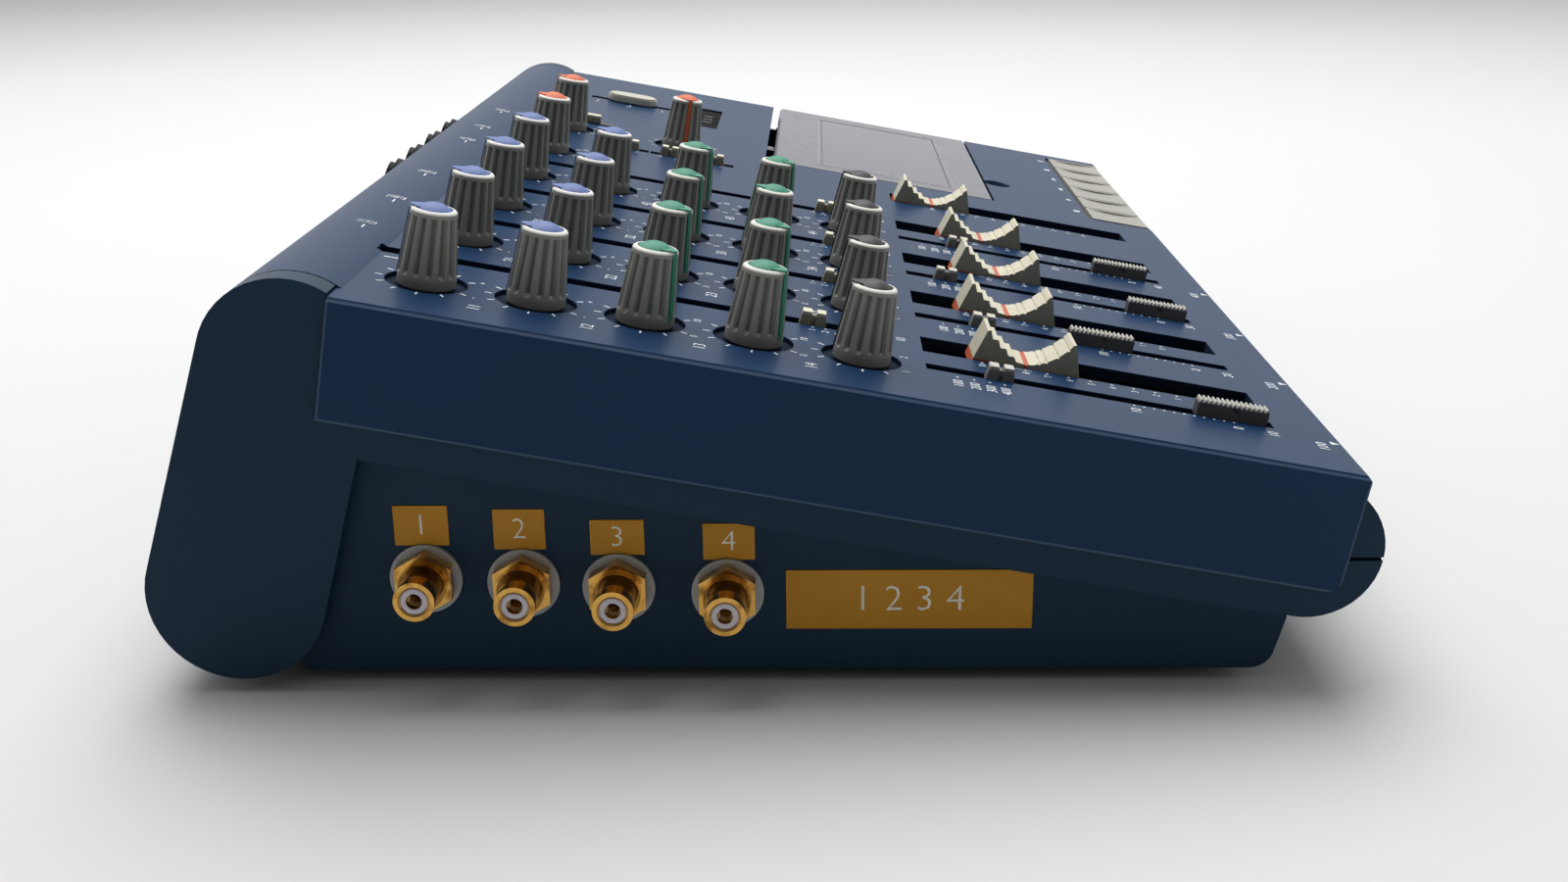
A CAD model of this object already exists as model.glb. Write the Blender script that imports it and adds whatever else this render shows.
"""Finishes, printed marks and small fittings of a four track cassette recorder."""

from math import cos, pi, radians, sin

import bmesh
import bpy
from mathutils import Matrix, Vector


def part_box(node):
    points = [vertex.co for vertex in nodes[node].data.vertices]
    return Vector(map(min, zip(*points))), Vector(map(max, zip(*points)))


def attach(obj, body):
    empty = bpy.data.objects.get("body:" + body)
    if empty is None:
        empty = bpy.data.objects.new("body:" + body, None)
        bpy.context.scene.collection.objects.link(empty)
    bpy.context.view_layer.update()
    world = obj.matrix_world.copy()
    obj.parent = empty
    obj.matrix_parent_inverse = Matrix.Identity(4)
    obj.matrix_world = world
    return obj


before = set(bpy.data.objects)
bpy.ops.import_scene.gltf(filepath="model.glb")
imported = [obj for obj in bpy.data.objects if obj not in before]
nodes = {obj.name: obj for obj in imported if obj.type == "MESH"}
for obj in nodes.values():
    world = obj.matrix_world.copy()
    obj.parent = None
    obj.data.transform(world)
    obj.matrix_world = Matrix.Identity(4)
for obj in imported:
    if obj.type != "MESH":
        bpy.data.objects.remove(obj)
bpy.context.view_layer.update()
mm = 0.001

# ------------------------------------------------------------------ sizes, in millimetres

# Where the design's own zero stands in the frame
zero = Vector((3.5, 67.375, 0))
# The control panel: its slope, its height at the rear knob row, and how far its slab reaches
slope = radians(10.5)
panel_z = 81.3
panel_front, panel_rear = -191.1, 14.3
slab_t, side_x = 25, 181
# The panel's recess floors and grooves: all lie this deep and within these bounds
sunk_w, sunk_front, sunk_rear, sunk_x = -0.3, -187, 14.8, 173
# How far in from the slab's lower, upper, end and side edges its texture is rubbed pale
rub_low, rub_top, rub_end, rub_side = 0.45, 0.8, 0.4, 0.5
# Channel strips: the knobs' columns and rows, where their pointers stand, and the one
# knob, by channel and row, that is turned up; then the slots beside the columns
channels = range(4)
first_x, pitch_x, pitch_v = -157.6, 42.5, 22.5
row_names = ["eq_high", "eq_low", "effect_1", "effect_2", "pan"]
row_clock = [0, 0, -150, -150, 0]
turned_up = (2, 3)
fader_dx, groove_dx = 19.2, 20.5
fader_slot_w = 12.0
scale_top, scale_step = -116.4, -4.7
# Knobs: the body above its ring, the pale rim and the coloured dome, wedge and rib
knob_r, knob_h, knob_top_r, ring_h = 6.05, 15.4, 4.75, 2.2
rim_h, rim_edge, flute_ledge = 1.25, 0.5, 0.45
flute_shallow, flute_deep = 0.35, 0.8
dome_r, dome_drop, wedge_rise = 3.75, 0.36, 0.03
rib_half, rib_from, rib_drop = 0.57, 2.6, 0.7
# Fader caps: the orange insert's half thickness and height, and its rear foot
insert_half, insert_h, insert_foot_h, insert_foot_from = 0.55, 2.2, 0.2, 6.0
# How high the small slider caps stand
switch_h, trim_h = 2.8, 3.5
# Master section
masters = {"effect_return_knob": (12.4, 0, 0), "headphone_knob": (54.9, 0, 0),
           "monitor_knob": (54.9, -36.5, -105)}
monitor_x, monitor_rows = 35.4, [-22, -34.5, -48.5]
spare_at = (70.4, -8.0)
pitch_at = (127.4, -13.5)
counter_at, counter_size, counter_deep = (123.4, -41.5), (42.0, 8.0), 1.0
counter_gap, glass_t, glass_up = 0.3, 0.5, 0.27
drum_size, drum_pitch, drum_up = (5.4, 6.0, 0.08), 6.2, 0.56
spare_plate, spare_cap, spare_cap_dv, spare_cap_w = (3.4, 10.4, 0.3), (3.0, 4.6, 2.6), 1.6, 1.55
# The round boss of a slide switch's cap: radius, length and height above the panel
boss_r, boss_l, boss_w = 0.62, 2.4, 1.4
# Inside the case: the top of the control board, with the pots' bodies above it
board_w = -13.95
# Deck
well_x, well_floor = 117.9, -16.0
window_front, window_rear, window_w, window_l = -125.4, -82.4, 99.6, 42.6
window_t, window_up = 0.36, -0.22
line_half_x, line_half_v, line_w = 51, 22.6, 0.25
head_size, head_v, head_up = (9.6, 0.5, 7.4), -138.5, 6.2
tyre_dx, tyre_v, tyre_up = 26, -143, 2.2
key_x0, key_pitch, key_rear = 55.4, 19.5, -171.5
key_names = ["record", "play", "rewind", "forward", "stop", "pause"]
# Side wall and its jacks: washer, the neck behind the tip, and how deep the fittings sit
wall_x = -175.3
phono_y, phono_z, phono_fall, phono_reach = [0.5, -19.4, -38.8, -61.0], 23.7, 0.054, 12.7
washer_t, neck_from, neck_to = 1.02, 5.4, 9.0
mouth_deep, contact_deep = 0.5, 5.0
# Labels on the side wall, as y, z, length, height and figures
label_t = 0.25
labels = [(0.85, 35.1, 11.1, 8.6, "1"), (-19.0, 34.2, 10.5, 8.7, "2"),
          (-38.8, 32.4, 11.0, 7.6, "3"), (-61.4, 31.4, 10.5, 7.9, "4"),
          (-98.0, 18.6, 50.3, 13.0, "1 2 3 4")]
# Screw wells below: their places, how high the screw heads sit, and a bar of their cross
screws_at = [(-169, -165), (-169, 10), (47, -158), (168, -45), (168, 10)]
screw_z, cross_size, cross_up = 12.5, (2.0, 0.45, 0.5), -0.15
# The rear roll's upper circle, as y, z and radius
roll_y, roll_z, roll_r = 23.9, 70.2, 17.3
# Printed marks: how thick the ink is, how far it stands off the panel, and a dot's radius
ink, ink_off, dot_r = 0.03, 0.03, 0.28
# How tall the printed figures are
scale_text, end_text, pitch_text, slide_text = 1.6, 1.7, 1.9, 2.2
trim_text, front_text, knob_text, strip_text = 2.3, 2.4, 2.6, 4.0
drum_text, label_text, wide_label_text = 3.6, 4.6, 5.8
# Round a knob: the radii of its ticks, their width, the end figures and the knob's number
tick_in, tick_out, tick_w = 9.0, 10.5, 0.38
end_reach, pan_end_reach, pan_sweep = 12.2, 10.6, 120
knob_number_dx, knob_number_dv = -12.6, -12.2
# Left of a fader's slot: dots and figures, and the finely dotted stretch between two of them
fader_dot_dx, fader_text_dx, fader_dot_r = -1.3, -3.4, 0.32
fine_from, fine_step, fine_dots, fine_dot_r = 2.25, 0.45, 9, 0.16
# Left of a trim's slot: its scale, its number, the input switch's and the strip's front end
trim_dot_dx, trim_text_dx = -1.0, -4.4
trim_from, trim_step, trim_steps, trim_zero_v, trim_number_v = -147.2, -2.11, 11, -168.6, -176.0
input_dot_dx, input_text_dx = -2.6, -7.0
input_marks = [-109.9, -113.4, -116.7, -119.8]
front_number_v, front_arrow_dx, front_arrow_v, front_arrow_l = -185.6, -3.8, -188.6, 2.0
# Left of a record switch's groove
record_text_dx, record_dot_dx = -5.6, -3.4
record_marks = [-79.8, -82.6, -85.4]
groove_number_dx, groove_number_v = -1.0, -99.3
strip_number_dx, strip_number_v = -6.0, 10.0
# Along the rear roll: two figures that lean to the front, and a bar beside them
rear_marks, rear_leans = [-124.0, -94.8, -60.3, -6.4, 18.0, 52.0], (9.6, 17.0)
rear_bar, rear_bar_dx, rear_bar_lean = (3.0, 0.35), -4.2, 14.0
# Left of the monitor switches and of the pitch slider
monitor_dot_dx, monitor_text_dx, monitor_shift = -3.1, -5.0, 2.6
pitch_bar, pitch_bar_dx, pitch_text_dx, pitch_reach = (1.8, 0.4), -7.4, -10.2, 11.5
# Behind the keys
key_mark_dv, record_r, play_l, wind_l, wind_step = 4.2, 1.2, 2.2, 1.9, 1.1
stop_side, pause_bar, pause_step = 2.1, (0.7, 2.3), 0.75


# ------------------------------------------------------------------ places

def at(x, y, z):
    """A place given in the design's millimetres, as a matrix in the frame's metres."""
    return Matrix.Scale(mm, 4) @ Matrix.Translation(zero + Vector((x, y, z)))


def on_panel(x, v, w=0.0, turn=0.0):
    """A place on the sloping panel, turned anticlockwise by turn degrees."""
    tilt = Matrix.Rotation(slope, 4, "X")
    return (at(0, 0, panel_z) @ tilt @ Matrix.Translation((x, v, w))
            @ Matrix.Rotation(radians(turn), 4, "Z"))


def on_side(y, z, out=0.0):
    """A place on the left wall, with its own x to the front and y up."""
    facing = Matrix(((0, 0, -1, 0), (-1, 0, 0, 0), (0, 1, 0, 0), (0, 0, 0, 1)))
    return at(wall_x - out, y, z) @ facing


def on_roll(x, lean):
    """A place on top of the rear roll, lean degrees to the front of its crest."""
    turn = Matrix.Rotation(radians(lean), 4, "X")
    return at(x, roll_y, roll_z) @ turn @ Matrix.Translation((0, 0, roll_r + ink_off))


def column(channel):
    """The x of a channel's knobs."""
    return first_x + channel * pitch_x


# ------------------------------------------------------------------ shader maths

class Value:
    """A number or vector in a material; sums and comparisons on it add their nodes."""

    def __init__(self, finish, socket):
        self.finish = finish
        self.socket = socket

    def maths(self, operation, *others):
        """A maths node that takes this value first."""
        inputs = {i: v for i, v in enumerate((self,) + others)}
        return self.finish.node("ShaderNodeMath", {"operation": operation}, inputs)

    def __add__(self, other):
        return self.maths("ADD", other)

    def __sub__(self, other):
        return self.maths("SUBTRACT", other)

    def __rsub__(self, other):
        return (self * -1) + other

    def __mul__(self, other):
        return self.maths("MULTIPLY", other)

    __radd__ = __add__

    def between(self, low, high):
        """0 below low, 1 above high, and smooth on the way."""
        inputs = {0: self, 1: low, 2: high}
        settings = {"interpolation_type": "SMOOTHSTEP"}
        return self.finish.node("ShaderNodeMapRange", settings, inputs)

    def over(self, level, soft=0.00002):
        """A mask: 1 above the level, 0 below it."""
        return self.between(level - soft, level + soft)

    def under(self, level, soft=0.00002):
        """A mask: 1 below the level, 0 above it."""
        return 1 - self.over(level, soft)

    def either(self, other):
        """Where one mask or the other is 1."""
        return self.maths("MAXIMUM", other)

    def size(self):
        """The value without its sign."""
        return self.maths("ABSOLUTE")


class Finish:
    """A material, built round one Principled shader."""

    def __init__(self, name, rough=0.4, metal=0.0, **constants):
        self.material = bpy.data.materials.new(name)
        self.material.use_nodes = True
        self.tree = self.material.node_tree
        self.shader = next(n for n in self.tree.nodes if n.type == "BSDF_PRINCIPLED")
        self.place = self.node("ShaderNodeTexCoord", output="Object")
        self.set(Roughness=rough, Metallic=metal)
        for socket, value in constants.items():
            self.shader.inputs[socket.replace("_", " ")].default_value = value

    def node(self, kind, settings=None, inputs=None, output=0):
        """Adds a node: its settings first, then the values or links of its sockets."""
        made = self.tree.nodes.new(kind)
        for name, value in (settings or {}).items():
            setattr(made, name, value)
        for name, value in (inputs or {}).items():
            self.feed(made.inputs[name], value)
        return Value(self, made.outputs[output])

    def feed(self, socket, value):
        """Links a Value to a socket, or sets a plain one there."""
        if isinstance(value, Value):
            self.tree.links.new(value.socket, socket)
        else:
            socket.default_value = value

    def set(self, **values):
        """Sets or links the shader's sockets, an underscore standing for a space."""
        for name, value in values.items():
            self.feed(self.shader.inputs[name.replace("_", " ")], value)
        return self

    def paint(self, colour):
        self.feed(self.shader.inputs["Base Color"], colour)
        return self

    def mix(self, mask, under, over):
        """One colour over another where the mask is 1."""
        settings = {"data_type": "RGBA", "clamp_factor": True}
        return self.node("ShaderNodeMix", settings, {0: mask, 6: under, 7: over}, output=2)

    def noise(self, size, detail=3.0, rough=0.5, place=None):
        """Cloudy noise whose blobs are about size metres wide, from 0 to 1."""
        inputs = {"Vector": place or self.place, "Scale": 1 / size, "Detail": detail,
                  "Roughness": rough}
        return self.node("ShaderNodeTexNoise", None, inputs)

    def stretched(self, scale):
        """The object's place, scaled along each axis, for grain that runs one way."""
        inputs = {0: self.place, 1: scale}
        return self.node("ShaderNodeVectorMath", {"operation": "MULTIPLY"}, inputs)

    def local(self, place):
        """The x, y and z, in metres, that a point has from a turned place on the object."""
        inputs = {"Vector": self.place, "Location": place.to_translation(),
                  "Rotation": place.to_euler()}
        turned = self.node("ShaderNodeMapping", {"vector_type": "TEXTURE"}, inputs)
        split = self.tree.nodes.new("ShaderNodeSeparateXYZ")
        self.tree.links.new(turned.socket, split.inputs[0])
        return [Value(self, output) for output in split.outputs]

    def bump(self, height, deep, strength=1.0):
        """Lets a height of 0 to 1 stand up to deep metres off the surface."""
        inputs = {"Height": height, "Distance": deep, "Strength": strength}
        self.feed(self.shader.inputs["Normal"], self.node("ShaderNodeBump", None, inputs))
        return self


def rgb(red, green, blue):
    """A colour given as it looks on a screen, in the linear values that shaders use."""
    linear = [c / 12.92 if c <= 0.04045 else ((c + 0.055) / 1.055) ** 2.4
              for c in (red, green, blue)]
    return (*linear, 1.0)


def shade(colour, by):
    """A colour made darker or paler by a factor."""
    return (*(min(c * by, 1.0) for c in colour[:3]), 1.0)


# ------------------------------------------------------------------ finishes

def moulded(name, colour, rough=0.42, grain=0.0005, deep=0.00001, vary=0.08, **constants):
    """Moulded plastic: a fine etched grain, with faint clouds of colour and gloss."""
    finish = Finish(name, rough, **constants)
    cloud = finish.noise(0.03)
    fine = finish.noise(grain, 2.0)
    finish.paint(finish.mix(cloud, shade(colour, 1 - vary), shade(colour, 1 + vary)))
    finish.set(Roughness=cloud.between(0.3, 0.7) * 0.08 + fine * 0.1 + (rough - 0.09))
    finish.bump(fine, deep)
    return finish


def case_finish(name, navy, worn=0.0):
    """Satin navy over a fine etched texture: dark recess floors, specks, worn slab edges."""
    finish = Finish(name, 0.36, Specular_IOR_Level=0.12)
    cloud = finish.noise(0.05)
    fine = finish.noise(0.00045, 3.0)
    speck = finish.noise(0.0009, 4.0, 0.7).between(0.68, 0.76)
    body = finish.mix(cloud, shade(navy, 0.92), shade(navy, 1.08))
    body = finish.mix(speck * 0.15, body, rgb(0.26, 0.31, 0.38))
    x, v, w = finish.local(on_panel(0, 0))
    along = v.over(sunk_front * mm) * v.under(sunk_rear * mm)
    sunk = w.under(sunk_w * mm, 0.0001) * x.over(-sunk_x * mm) * x.under(sunk_x * mm) * along
    body = finish.mix(sunk * 0.75, body, rgb(0.03, 0.05, 0.09))
    rubbed = w.under((rub_low - slab_t) * mm).either(w.over(-rub_top * mm))
    rubbed = rubbed.either(v.over((panel_rear - rub_end) * mm))
    rubbed = rubbed.either(v.under((panel_front + rub_end) * mm))
    rubbed = rubbed * x.size().over((side_x - rub_side) * mm) * (fine * 0.6 + 0.6)
    finish.paint(finish.mix(rubbed * worn, body, rgb(0.42, 0.49, 0.58)))
    finish.set(Roughness=0.30 + fine * 0.12 + cloud * 0.05 + sunk * 0.45)
    return finish.bump(fine, 0.00001)


def knob_finish(name, place, clock, cap):
    """Grey knob with a pale rim, dark flutes and a coloured dome, wedge and rib."""
    grey = rgb(0.60, 0.60, 0.57)
    finish = Finish(name, 0.48, Specular_IOR_Level=0.35)
    x, y, z = finish.local(place @ Matrix.Rotation(radians(-clock), 4, "Z"))
    radius = (x * x + y * y).maths("SQRT")
    lean = (knob_r - knob_top_r) / (knob_h - ring_h)
    flank = (z - ring_h * mm) * -lean + knob_r * mm
    below_rim = z.under((knob_h - rim_h) * mm, 0.00008)
    sunk = (flank - radius).between(flute_shallow * mm, flute_deep * mm)
    sunk = sunk * z.over(ring_h * mm) * below_rim
    cloud = finish.noise(0.006)
    fine = finish.noise(0.0004)
    body = finish.mix(cloud, shade(grey, 0.9), shade(grey, 1.08))
    body = finish.mix(sunk * 0.85, body, rgb(0.15, 0.15, 0.145))
    ledge = sunk * z.under((ring_h + flute_ledge) * mm, 0.0001)
    edge = z.over((knob_h - rim_edge) * mm, 0.00015)
    body = finish.mix((edge * 0.9).either(ledge * 0.8), body, rgb(0.95, 0.94, 0.91))
    foot = z.under(ring_h * 0.6 * mm, 0.0008)
    body = finish.mix(foot * 0.35, body, rgb(0.3, 0.29, 0.28))
    dome = radius.under((dome_r + 0.01) * mm) * z.over((knob_h - dome_drop) * mm)
    wedge = z.over((knob_h + wedge_rise) * mm)
    rib = x.size().under(rib_half * mm) * y.over(rib_from * mm)
    rib = rib * z.over((ring_h - rib_drop) * mm)
    cap_tint = finish.mix(fine, shade(cap, 0.94), shade(cap, 1.06))
    finish.paint(finish.mix(dome.either(wedge).either(rib), body, cap_tint))
    finish.set(Roughness=0.40 + fine * 0.12)
    return finish.bump(fine, 0.00001)


def fader_finish(name, x_middle, v, half):
    """Off-white cap, with the orange insert showing under the saddle and at the foot."""
    white = rgb(0.80, 0.78, 0.69)
    finish = Finish(name, 0.45)
    x, along, w = finish.local(on_panel(x_middle, v))
    cloud = finish.noise(0.008)
    fine = finish.noise(0.0005)
    body = finish.mix(cloud, shade(white, 0.93), shade(white, 1.04))
    flank = x.size().over(half - 0.05 * mm, 0.00004)
    body = finish.mix(flank * 0.6, body, rgb(0.47, 0.45, 0.38))
    grime = finish.noise(0.003).between(0.45, 0.7) * w.under(0.003, 0.002)
    body = finish.mix(grime * 0.25, body, rgb(0.45, 0.42, 0.36))
    line = along.size().under(insert_half * mm) * w.under(insert_h * mm, 0.0002)
    foot = w.under(insert_foot_h * mm) * along.over(insert_foot_from * mm, 0.0005)
    orange = finish.mix(cloud, rgb(0.68, 0.30, 0.17), rgb(0.80, 0.40, 0.25))
    finish.paint(finish.mix(line.either(foot), body, orange))
    finish.set(Roughness=0.4 + fine * 0.15)
    return finish.bump(fine, 0.00001)


def tipped_finish(name, body_tint, top_tint, top):
    """A small slider cap whose upper edges are rubbed paler than its flanks."""
    finish = Finish(name, 0.5)
    x, v, w = finish.local(on_panel(0, 0))
    cloud = finish.noise(0.002)
    fine = finish.noise(0.0004)
    body = finish.mix(cloud, shade(body_tint, 0.88), shade(body_tint, 1.08))
    finish.paint(finish.mix(w.between((top - 0.9) * mm, (top - 0.1) * mm), body, top_tint))
    finish.set(Roughness=0.45 + fine * 0.12)
    return finish.bump(fine, 0.00001)


def board_finish():
    """Green board with copper tracks under the mask; black bodies above it."""
    finish = Finish("board_and_pots", 0.4)
    x, v, w = finish.local(on_panel(0, 0))
    tracks = finish.node("ShaderNodeTexWave", {"wave_type": "BANDS", "bands_direction": "X"},
                         {"Vector": finish.place, "Scale": 90.0, "Distortion": 12.0,
                          "Detail": 0.0, "Detail Scale": 0.4}).between(0.45, 0.55)
    green = finish.mix(tracks, rgb(0.05, 0.24, 0.13), rgb(0.09, 0.36, 0.19))
    black = finish.mix(finish.noise(0.004), rgb(0.035, 0.035, 0.04), rgb(0.075, 0.075, 0.08))
    raised = w.over(board_w * mm)
    finish.paint(finish.mix(raised, green, black))
    return finish.bump(tracks, 0.00003, 0.6)


def metal_finish(name, light, dark, rough=0.28, grain=(1, 30, 1), size=0.0008):
    """Metal with fine lines along one way and a few dull patches."""
    finish = Finish(name, rough, 1.0)
    lines = finish.noise(size, 2.0, place=finish.stretched(Vector(grain)))
    dull = finish.noise(0.012).between(0.4, 0.75)
    finish.paint(finish.mix(lines, dark, light))
    finish.set(Roughness=rough - 0.06 + lines * 0.12 + dull * 0.1)
    return finish.bump(lines, 0.000006)


def jack_finish():
    """Gold plating, darker in the neck behind the tip, and a zinc washer next to the wall."""
    finish = Finish("gold_and_washer", 0.22, 1.0)
    split = finish.tree.nodes.new("ShaderNodeSeparateXYZ")
    finish.tree.links.new(finish.place.socket, split.inputs[0])
    out = Value(finish, split.outputs[0]) * -1 + (wall_x + zero.x) * mm
    washer = out.under(washer_t * mm)
    neck = out.over(neck_from * mm, 0.0002) * out.under(neck_to * mm, 0.0004)
    turned_lines = finish.noise(0.0007, 2.0, place=finish.stretched(Vector((6, 1, 1))))
    tarnish = finish.noise(0.004).between(0.45, 0.75)
    gold = finish.mix(tarnish, rgb(0.84, 0.65, 0.33), rgb(0.52, 0.36, 0.17))
    gold = finish.mix(neck * 0.8, gold, rgb(0.34, 0.22, 0.11))
    finish.paint(finish.mix(washer, gold, rgb(0.62, 0.63, 0.63)))
    finish.set(Roughness=0.16 + tarnish * 0.12 + washer * 0.3, Metallic=1 - washer * 0.5)
    return finish.bump(turned_lines, 0.00001)


def door_finish():
    """Glossy grey door, with hairline scratches."""
    finish = Finish("door_smoked", 0.22, Specular_IOR_Level=0.25)
    cloud = finish.noise(0.04)
    scratch = finish.noise(0.0009, 2.0, place=finish.stretched(Vector((1, 0.04, 1))))
    finish.paint(finish.mix(cloud, rgb(0.31, 0.31, 0.36), rgb(0.36, 0.35, 0.40)))
    finish.set(Roughness=0.18 + scratch.between(0.55, 0.75) * 0.22)
    return finish.bump(scratch, 0.000004)


def window_finish():
    """Smoked violet acrylic of the door's window."""
    finish = Finish("window_smoked", 0.08, Specular_IOR_Level=0.4)
    cloud = finish.noise(0.05)
    hair = finish.noise(0.0012, 2.0, place=finish.stretched(Vector((0.05, 1, 1))))
    finish.paint(finish.mix(cloud, rgb(0.20, 0.17, 0.25), rgb(0.27, 0.23, 0.32)))
    finish.set(Roughness=0.06 + hair.between(0.6, 0.8) * 0.18)
    return finish


def ink_finish(name="white_ink", tint=(0.95, 0.97, 0.99)):
    """Screen print: pale ink, a little thin here and there."""
    finish = Finish(name, 0.5)
    thin = finish.noise(0.0012, 3.0).between(0.35, 0.7)
    finish.paint(finish.mix(thin, shade(rgb(*tint), 0.8), rgb(*tint)))
    return finish.bump(thin, 0.000005)


def label_finish():
    """Ochre embossing tape: glossy, scuffed and a little faded."""
    finish = Finish("label_tape", 0.3, Specular_IOR_Level=0.25)
    cloud = finish.noise(0.008)
    scuff = finish.noise(0.0009, 3.0, place=finish.stretched(Vector((1, 1, 5))))
    tape = finish.mix(cloud, rgb(0.74, 0.51, 0.06), rgb(0.80, 0.57, 0.10))
    finish.paint(finish.mix(scuff.between(0.66, 0.82) * 0.3, tape, rgb(0.80, 0.64, 0.34)))
    finish.set(Roughness=0.24 + scuff * 0.2)
    return finish.bump(scuff, 0.000012)


def give(node, finish):
    """Puts one finish in every material slot of a part."""
    mesh = nodes[node].data
    if not mesh.materials:
        mesh.materials.append(finish.material)
    for slot in range(len(mesh.materials)):
        mesh.materials[slot] = finish.material


cap_blue = rgb(0.36, 0.45, 0.67)
cap_green = rgb(0.17, 0.54, 0.43)
cap_dark = rgb(0.14, 0.14, 0.14)
cap_orange = rgb(0.84, 0.41, 0.22)
row_caps = [cap_blue, cap_blue, cap_green, cap_green, cap_dark]
switch_cream = tipped_finish("switch_cream", rgb(0.56, 0.54, 0.46), rgb(0.86, 0.84, 0.74), switch_h)
switch_grey = tipped_finish("switch_grey", rgb(0.46, 0.45, 0.41), rgb(0.78, 0.77, 0.72), switch_h)
trim_grey = tipped_finish("trim_grey", rgb(0.30, 0.29, 0.28), rgb(0.78, 0.77, 0.74), trim_h)
key_plastic = moulded("key_plastic", rgb(0.62, 0.61, 0.58), 0.5, Specular_IOR_Level=0.35)
hub_plastic = moulded("hub_plastic", rgb(0.80, 0.79, 0.75), 0.35)
pitch_plastic = moulded("pitch_plastic", rgb(0.74, 0.73, 0.68), 0.42)
steel = metal_finish("zinc_steel", rgb(0.66, 0.66, 0.67), rgb(0.46, 0.46, 0.48))
bright_metal = metal_finish("bright_metal", rgb(0.80, 0.80, 0.80), rgb(0.58, 0.58, 0.60), 0.18)
plated_gold = metal_finish("plated_gold", rgb(0.74, 0.58, 0.36), rgb(0.52, 0.39, 0.23), 0.24)
black_plastic = moulded("black_plastic", rgb(0.05, 0.05, 0.055), 0.4, vary=0.2)
socket_black = moulded("socket_black", rgb(0.06, 0.06, 0.07), 0.5, 0.0004, 0.000012, 0.2,
                       Specular_IOR_Level=0.12)
counter_dark = moulded("counter_dark", rgb(0.03, 0.03, 0.035), 0.6, Specular_IOR_Level=0.03)
pale_insulator = moulded("pale_insulator", rgb(0.84, 0.82, 0.86), 0.4)
rubber = moulded("rubber", rgb(0.09, 0.09, 0.095), 0.75, 0.0008, 0.00003, 0.25)
white_ink = ink_finish()
label_tape = label_finish()
upper_navy = case_finish("upper_navy", rgb(0.088, 0.203, 0.335), 0.4)
lower_navy = case_finish("lower_navy", rgb(0.104, 0.203, 0.285))


def finish_parts():
    """Gives every part of the frame its finish."""
    give("top_cover", upper_navy)
    give("bottom_cover", lower_navy)
    give("control_board", board_finish())
    give("deck_chassis", steel)
    give("rubber_feet", rubber)
    give("tape_out_jacks", jack_finish())
    give("panel_sockets", socket_black)
    give("cassette_door", door_finish())
    give("pitch_slider", pitch_plastic)
    for name in ("supply_hub", "take_up_hub"):
        give(name, hub_plastic)
    for key in key_names:
        give(f"key_{key}", key_plastic)
    for c in channels:
        for r, row in enumerate(row_names):
            clock = 0 if (c, r) == turned_up else row_clock[r]
            place = on_panel(column(c), -r * pitch_v)
            node = f"ch{c + 1}_{row}_knob"
            give(node, knob_finish(f"knob_ch{c + 1}_{row}", place, clock, row_caps[r]))
        give(f"ch{c + 1}_trim_slider", trim_grey)
        give(f"ch{c + 1}_input_switch", switch_grey)
        give(f"ch{c + 1}_record_switch", switch_cream)
    for node, (x, v, clock) in masters.items():
        give(node, knob_finish("knob_" + node, on_panel(x, v), clock, cap_orange))
    for node in [f"ch{c + 1}_fader" for c in channels] + ["master_fader"]:
        low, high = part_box(node)
        half = (high.x - low.x) / 2
        give(node, fader_finish("cap_" + node, middle_x(node), middle_v(node), half))
    for letter in "abc":
        give(f"monitor_switch_{letter}", switch_cream)


def middle_x(node):
    """The x of the middle of a part, in millimetres."""
    low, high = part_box(node)
    return (low.x + high.x) / 2 / mm - zero.x


def middle_v(node):
    """How far up the slope, from the rear knob row, the middle of a part lies."""
    back = on_panel(0, 0).inverted()
    along = [(back @ vertex.co).y for vertex in nodes[node].data.vertices]
    return (min(along) + max(along)) / 2


# ------------------------------------------------------------------ modelling helpers

def piece(name, shape, finish, body="case", smooth=False):
    """Closes a bmesh into an object that rides on a body."""
    bmesh.ops.recalc_face_normals(shape, faces=shape.faces)
    mesh = bpy.data.meshes.new(name)
    shape.to_mesh(mesh)
    shape.free()
    mesh.materials.append(finish.material)
    if smooth:
        mesh.shade_smooth()
        mesh.set_sharp_from_angle(angle=radians(35))
    item = bpy.data.objects.new(name, mesh)
    bpy.context.collection.objects.link(item)
    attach(item, body)
    return item


def block(shape, size, place, bevel=0.0):
    """A box centred on a place, its edges rounded where asked."""
    made = bmesh.ops.create_cube(shape, size=1, matrix=place @ Matrix.Diagonal((*size, 1)))
    if bevel:
        edges = {e for v in made["verts"] for e in v.link_edges}
        bmesh.ops.bevel(shape, geom=list(edges), offset=bevel * mm, segments=3, profile=0.5,
                        affect="EDGES", material=-1)


def disc(shape, radius, thick, place, sides=20):
    """A flat cylinder centred on a place, round its z."""
    bmesh.ops.create_cone(shape, cap_ends=True, segments=sides, radius1=radius, radius2=radius,
                          depth=thick, matrix=place)


def turned(shape, outline, place, steps=40):
    """An outline of radius and height, spun round the place's z into a closed form."""
    older = set(shape.verts)
    corners = [shape.verts.new((radius, 0, height)) for radius, height in outline]
    edges = [shape.edges.new(pair) for pair in zip(corners, corners[1:] + corners[:1])]
    bmesh.ops.spin(shape, geom=corners + edges, cent=(0, 0, 0), axis=(0, 0, 1), dvec=(0, 0, 0),
                   angle=2 * pi, steps=steps, use_merge=True)
    grown = [v for v in shape.verts if v not in older]
    bmesh.ops.remove_doubles(shape, verts=grown, dist=0.0001)
    grown = [v for v in shape.verts if v not in older]
    bmesh.ops.transform(shape, matrix=place, verts=grown)


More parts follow.
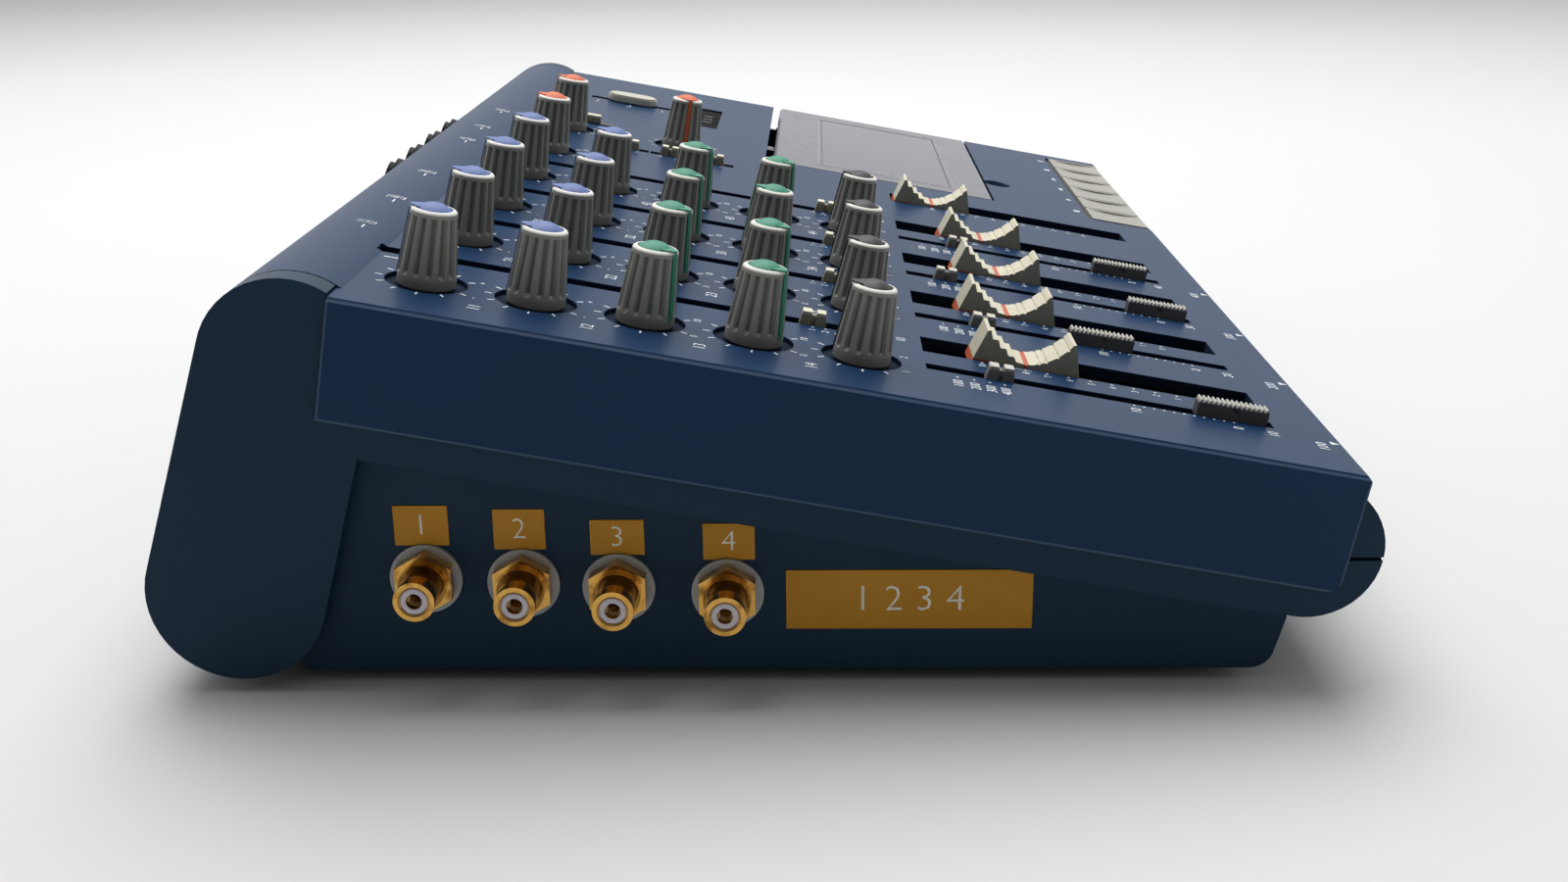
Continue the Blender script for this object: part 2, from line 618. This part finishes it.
def figures(shape, text, height, place, thin=0.0):
    """Plain figures, lying flat and centred on a place, their strokes thinned if asked."""
    curve = bpy.data.curves.new("figures", "FONT")
    curve.body = text
    curve.size = height * 1.4
    curve.offset = -thin
    curve.align_x = "CENTER"
    curve.align_y = "CENTER"
    curve.extrude = ink / 2
    curve.resolution_u = 2
    holder = bpy.data.objects.new("figures", curve)
    mesh = bpy.data.meshes.new_from_object(holder)
    mesh.transform(place)
    shape.from_mesh(mesh)
    bpy.data.objects.remove(holder)
    bpy.data.curves.remove(curve)
    bpy.data.meshes.remove(mesh)


def bar(shape, length, width, place):
    """A printed line along the place's own x."""
    block(shape, (length, width, ink), place)


def arrow(shape, length, place):
    """A printed triangle that points along the place's own x."""
    stretch = Matrix.Diagonal((length / 1.7, length / 1.5, 1, 1))
    disc(shape, 1.0, ink, place @ Matrix.Rotation(-pi / 2, 4, "Z") @ stretch, sides=3)


# ------------------------------------------------------------------ printed marks

def dot(shape, x, v, radius=dot_r, sides=10):
    """A printed dot on the panel."""
    disc(shape, radius, ink, on_panel(x, v, ink_off), sides)


def number(shape, text, height, x, v):
    """Printed figures on the panel."""
    figures(shape, text, height, on_panel(x, v, ink_off))


def knob_ring(shape, x, v, ends, reach=end_reach, sweep=150):
    """Ticks every 30 degrees round a knob, and what its two ends say."""
    to_tick = Matrix.Translation(((tick_in + tick_out) / 2, 0, 0))
    for clock in range(-sweep, sweep + 1, 30):
        bar(shape, tick_out - tick_in, tick_w, on_panel(x, v, ink_off, 90 - clock) @ to_tick)
    away = radians(30)
    for side, text in zip((-1, 1), ends):
        number(shape, text, end_text, x + side * reach * sin(away), v - reach * cos(away))


def knob_marks():
    """Rings of ticks, and a plain two-figure number beside each channel knob."""
    shape = bmesh.new()
    ends = [("-", "+"), ("-", "+"), ("0", "10"), ("0", "10"), ("1", "2")]
    for c in channels:
        for r in range(len(row_names) - 1):
            x, v = column(c), -r * pitch_v
            knob_ring(shape, x, v, ends[r])
            number(shape, f"{c + 1}{r + 1}", knob_text, x + knob_number_dx, v + knob_number_dv)
        knob_ring(shape, column(c), -4 * pitch_v, ends[4], pan_end_reach, pan_sweep)
    for x, v, clock in masters.values():
        knob_ring(shape, x, v, ("0", "10"))
    piece("knob_scale_marks", shape, white_ink)


def fader_marks():
    """A dot and a figure from 10 to 0 beside every fader, and a dotted stretch near 8."""
    shape = bmesh.new()
    for c in range(len(channels) + 1):
        x = column(c) + fader_dx - fader_slot_w / 2
        for step in range(11):
            v = scale_top + step * scale_step
            dot(shape, x + fader_dot_dx, v, fader_dot_r, sides=12)
            number(shape, str(10 - step), scale_text, x + fader_text_dx, v)
        for fine in range(fine_dots):
            v = scale_top + fine_from * scale_step + fine * fine_step
            dot(shape, x + fader_dot_dx, v, fine_dot_r, sides=6)
    piece("fader_scale_marks", shape, white_ink)


def trim_marks():
    """Dots and figures beside the narrow slots, and an arrow at each strip's front."""
    shape = bmesh.new()
    for c in channels:
        x = column(c)
        for step in range(trim_steps):
            dot(shape, x + trim_dot_dx, trim_from + step * trim_step)
        for v, text in ((trim_from, "10"), (trim_zero_v, "0"), (trim_number_v, f"{c + 1}0")):
            number(shape, text, trim_text, x + trim_text_dx, v)
        for place, v in enumerate(input_marks):
            dot(shape, x + input_dot_dx, v)
            number(shape, f"{place + 1}00", slide_text, x + input_text_dx, v)
        number(shape, f"{c + 1}00", front_text, x + input_text_dx, front_number_v)
        arrow(shape, front_arrow_l, on_panel(x + front_arrow_dx, front_arrow_v, ink_off, -90))
    piece("slider_marks", shape, white_ink)


def switch_marks():
    """Positions of the record, monitor and pitch slides, and marks along the rear roll."""
    shape = bmesh.new()
    for c in channels:
        x = column(c) + groove_dx
        for place, v in enumerate(record_marks):
            number(shape, str(place + 1), scale_text, x + record_text_dx, v)
            dot(shape, x + record_dot_dx, v)
        number(shape, f"{c + 1}0", slide_text, x + groove_number_dx, groove_number_v)
        number(shape, str(c + 1), strip_text, x + strip_number_dx, strip_number_v)
    for place, x in enumerate(rear_marks):
        for line, lean in enumerate(rear_leans):
            figures(shape, f"{place + 1}{line + 1}", slide_text, on_roll(x, lean))
        bar(shape, *rear_bar, on_roll(x + rear_bar_dx, rear_bar_lean))
    for row_v in monitor_rows:
        for place, side in enumerate((-1, 1)):
            v = row_v + side * monitor_shift
            dot(shape, monitor_x + monitor_dot_dx, v)
            number(shape, str(place + 1), scale_text, monitor_x + monitor_text_dx, v)
    x, v = pitch_at
    for shift, text in ((-pitch_reach, "-"), (0.0, "0"), (pitch_reach, "+")):
        bar(shape, *pitch_bar, on_panel(x + pitch_bar_dx, v + shift, ink_off))
        number(shape, text, pitch_text, x + pitch_text_dx, v + shift)
    piece("switch_marks", shape, white_ink)


def key_marks():
    """The usual tape symbols behind the keys: a disc, triangles, a square and two bars."""
    shape = bmesh.new()
    v = key_rear + key_mark_dv
    for k, name in enumerate(key_names):
        x = key_x0 + (k + 0.5) * key_pitch
        if name == "record":
            dot(shape, x, v, record_r, sides=24)
        if name == "play":
            arrow(shape, play_l, on_panel(x, v, ink_off))
        if name in ("rewind", "forward"):
            turn = 180 if name == "rewind" else 0
            for step in (-wind_step, wind_step):
                arrow(shape, wind_l, on_panel(x + step, v, ink_off, turn))
        if name == "stop":
            bar(shape, stop_side, stop_side, on_panel(x, v, ink_off))
        if name == "pause":
            for step in (-pause_step, pause_step):
                bar(shape, *pause_bar, on_panel(x + step, v, ink_off))
    piece("key_symbols", shape, white_ink)


# ------------------------------------------------------------------ labels and fittings

def side_labels():
    """Strips of embossing tape by the side jacks, with plain raised numbers."""
    raised = bmesh.new()
    for i, (y, z, length, height, text) in enumerate(labels):
        strip = bmesh.new()
        block(strip, (length, height, label_t), on_side(y, z, label_t / 2), bevel=0.1)
        piece(f"side_label_{i + 1}", strip, label_tape)
        tall = label_text if len(text) == 1 else wide_label_text
        figures(raised, text, tall, on_side(y, z, label_t + 0.02), thin=0.1)
    piece("side_label_figures", raised, ink_finish("embossed_white", (1.0, 0.97, 0.90)))


def jack_fittings():
    """The mouth of each gold jack: its lip, a pale insulator ring and the contact in its bore."""
    lip = bmesh.new()
    ring = bmesh.new()
    contact = bmesh.new()
    for y in phono_y:
        z = phono_z + y * phono_fall
        mouth = on_side(y, z, phono_reach - mouth_deep)
        turned(lip, [(2.72, 0), (3.18, 0), (3.18, 0.42), (3.0, 0.46), (2.72, 0.3)], mouth)
        turned(ring, [(1.7, 0), (2.7, 0), (2.7, 0.2), (2.5, 0.3), (1.7, 0.3)], mouth)
        bore = on_side(y, z, phono_reach - contact_deep)
        turned(contact, [(1.25, 0), (1.55, 0), (1.55, 2.4), (1.25, 2.4)], bore, steps=24)
    piece("phono_lips", lip, plated_gold, smooth=True)
    piece("phono_insulators", ring, pale_insulator, smooth=True)
    piece("phono_contacts", contact, bright_metal, smooth=True)


def counter():
    """Three figure drums on a dark ground, in the shallow window at the rear right."""
    x, v = counter_at
    length, width = counter_size
    glass = bmesh.new()
    block(glass, (length - counter_gap, width - counter_gap, glass_t),
          on_panel(x, v, glass_up - counter_deep), bevel=0.12)
    piece("counter_glass", glass, counter_dark)
    drums = bmesh.new()
    marks = bmesh.new()
    for place in range(3):
        spot = on_panel(x + (place - 1) * drum_pitch, v, drum_up - counter_deep)
        block(drums, drum_size, spot, bevel=0.03)
        figures(marks, "0", drum_text, spot @ Matrix.Translation((0, 0, 0.06)))
    piece("counter_drums", drums, counter_dark)
    piece("counter_figures", marks, ink_finish("drum_white", (0.46, 0.46, 0.46)))


def door_window():
    """The smoked window let into the door, with a fine bright line round it."""
    pane = bmesh.new()
    x, v = well_x, (window_front + window_rear) / 2
    block(pane, (window_w, window_l, window_t), on_panel(x, v, window_up), bevel=0.12)
    piece("door_window", pane, window_finish(), "cassette_door")
    line = bmesh.new()
    for side in (-1, 1):
        bar(line, window_w, line_w, on_panel(x, v + side * line_half_v, ink_off))
        bar(line, line_w, 2 * line_half_v, on_panel(x + side * line_half_x, v, ink_off))
    piece("door_line", line, ink_finish("silver_ink", (0.62, 0.62, 0.66)), "cassette_door")


def deck_fittings():
    """The tape head's bright face and the rubber tyre of the pinch roller."""
    head = bmesh.new()
    block(head, head_size, on_panel(well_x, head_v, well_floor + head_up), bevel=0.2)
    piece("head_face", head, bright_metal)
    tyre = bmesh.new()
    place = on_panel(well_x + tyre_dx, tyre_v, well_floor + tyre_up)
    turned(tyre, [(5.52, 0), (5.72, 0.3), (5.72, 6.7), (5.52, 7.0)], place, steps=48)
    piece("pinch_tyre", tyre, rubber, smooth=True)


def case_screws():
    """Cross-head screws up the five wells under the case."""
    shape = bmesh.new()
    for x, y in screws_at:
        place = at(x, y, screw_z) @ Matrix.Rotation(pi, 4, "X")
        turned(shape, [(0, -1.4), (2.4, -1.4), (2.4, -0.6), (1.7, 0.0), (0.75, 0.15), (0, 0.15)],
               place, steps=24)
        for turn in (0, 90):
            block(shape, cross_size, place @ Matrix.Rotation(radians(turn), 4, "Z")
                  @ Matrix.Translation((0, 0, cross_up)))
    piece("case_screws", shape, bright_metal)


def switch_pivots():
    """A small round boss between the two blocks of each switch cap."""
    switches = [(f"ch{c + 1}_input_switch", switch_grey) for c in channels]
    switches += [(f"ch{c + 1}_record_switch", switch_cream) for c in channels]
    switches += [(f"monitor_switch_{letter}", switch_cream) for letter in "abc"]
    for node, finish in switches:
        across = Matrix.Rotation(pi / 2, 4, "Y")
        shape = bmesh.new()
        disc(shape, boss_r, boss_l, on_panel(middle_x(node), middle_v(node), boss_w) @ across)
        piece(node + "_boss", shape, finish, node, smooth=True)


def spare_slide():
    """The small fourth slide switch beside the headphone knob."""
    x, v = spare_at
    plate = bmesh.new()
    block(plate, spare_plate, on_panel(x, v, spare_plate[2] / 2), bevel=0.08)
    piece("slide_plate", plate, black_plastic)
    cap = bmesh.new()
    block(cap, spare_cap, on_panel(x, v + spare_cap_dv, spare_cap_w), bevel=0.35)
    piece("slide_cap", cap, switch_cream, smooth=True)


# ------------------------------------------------------------------ stage, in metres

camera_place = Vector((-0.4994, -0.0124, 0.1632))
camera_looks = Vector((0.9474, 0.0202, -0.3194))
camera_roll = radians(-0.65)
camera_lens = 40.05
floor_half = 12
# How bright the room looks where the camera sees it
camera_sees = 0.95


def camera():
    """The photograph's view, worked out from its grid of knobs."""
    data = bpy.data.cameras.new("camera")
    data.lens = camera_lens
    data.sensor_width = 36
    data.clip_start = 0.01
    data.clip_end = 30
    item = bpy.data.objects.new("camera", data)
    turn = camera_looks.to_track_quat("-Z", "Y").to_matrix().to_4x4()
    item.matrix_world = (Matrix.Translation(camera_place) @ turn
                         @ Matrix.Rotation(camera_roll, 4, "Z"))
    bpy.context.collection.objects.link(item)
    bpy.context.scene.camera = item


def floor():
    """A wide pale floor."""
    shape = bmesh.new()
    bmesh.ops.create_grid(shape, x_segments=8, y_segments=8, size=floor_half)
    mesh = bpy.data.meshes.new("floor")
    shape.to_mesh(mesh)
    shape.free()
    pale = Finish("floor_pale", 0.7, Specular_IOR_Level=0.2)
    cloud = pale.noise(0.4)
    pale.paint(pale.mix(cloud, rgb(0.86, 0.86, 0.86), rgb(0.88, 0.88, 0.88)))
    mesh.materials.append(pale.material)
    item = bpy.data.objects.new("floor", mesh)
    bpy.context.collection.objects.link(item)


def softbox(name, place, target, size, power):
    """A plain rectangular lamp that faces a target."""
    data = bpy.data.lights.new(name, "AREA")
    data.shape = "RECTANGLE"
    data.size, data.size_y = size
    data.energy = power
    item = bpy.data.objects.new(name, data)
    turn = (Vector(target) - Vector(place)).to_track_quat("-Z", "Y").to_matrix().to_4x4()
    item.matrix_world = Matrix.Translation(place) @ turn
    bpy.context.collection.objects.link(item)


def lights():
    """A wide softbox over the deck's end, a faint fill, and a room paler on that side."""
    softbox("beyond", (0.5, 0.1, 1.4), (0.02, 0, 0.03), (1.5, 1.5), power=28)
    softbox("fill", (-1.5, -0.4, 0.9), (0, 0, 0.05), (1.2, 1.2), power=0.5)
    world = bpy.data.worlds.new("room")
    world.use_nodes = True
    bpy.context.scene.world = world
    tree = world.node_tree

    def add(kind, settings, links):
        made = tree.nodes.new(kind)
        for name, value in settings.items():
            setattr(made, name, value)
        for socket, source in links.items():
            if isinstance(source, bpy.types.NodeSocket):
                tree.links.new(source, made.inputs[socket])
            else:
                made.inputs[socket].default_value = source
        return made

    back = next(n for n in tree.nodes if n.type == "BACKGROUND")
    back.inputs["Color"].default_value = rgb(0.95, 0.95, 0.95)
    path = add("ShaderNodeLightPath", {}, {})
    way = add("ShaderNodeTexCoord", {}, {})
    split = add("ShaderNodeSeparateXYZ", {}, {0: way.outputs["Generated"]})
    clear = add("ShaderNodeMath", {"operation": "MAXIMUM"},
                {0: path.outputs["Is Glossy Ray"], 1: path.outputs["Is Transmission Ray"]})

    def ramp(by, low, high, start=0.0, end=1.0):
        """A strength that goes from low to high while a socket goes from start to end."""
        return add("ShaderNodeMapRange", {}, {0: by, 1: start, 2: end, 3: low, 4: high}).outputs[0]

    shine = ramp(split.outputs[0], 0.2, 1.0, -0.7, 0.3)
    soft = ramp(split.outputs[0], 0.06, 0.7, -0.8, 0.6)
    lit = ramp(clear.outputs[0], soft, shine)
    seen = ramp(path.outputs["Is Camera Ray"], lit, camera_sees)
    tree.links.new(seen, back.inputs["Strength"])


bpy.context.scene.view_settings.view_transform = "Standard"
camera()
floor()
lights()
finish_parts()
knob_marks()
fader_marks()
trim_marks()
switch_marks()
key_marks()
side_labels()
jack_fittings()
counter()
door_window()
deck_fittings()
case_screws()
switch_pivots()
spare_slide()
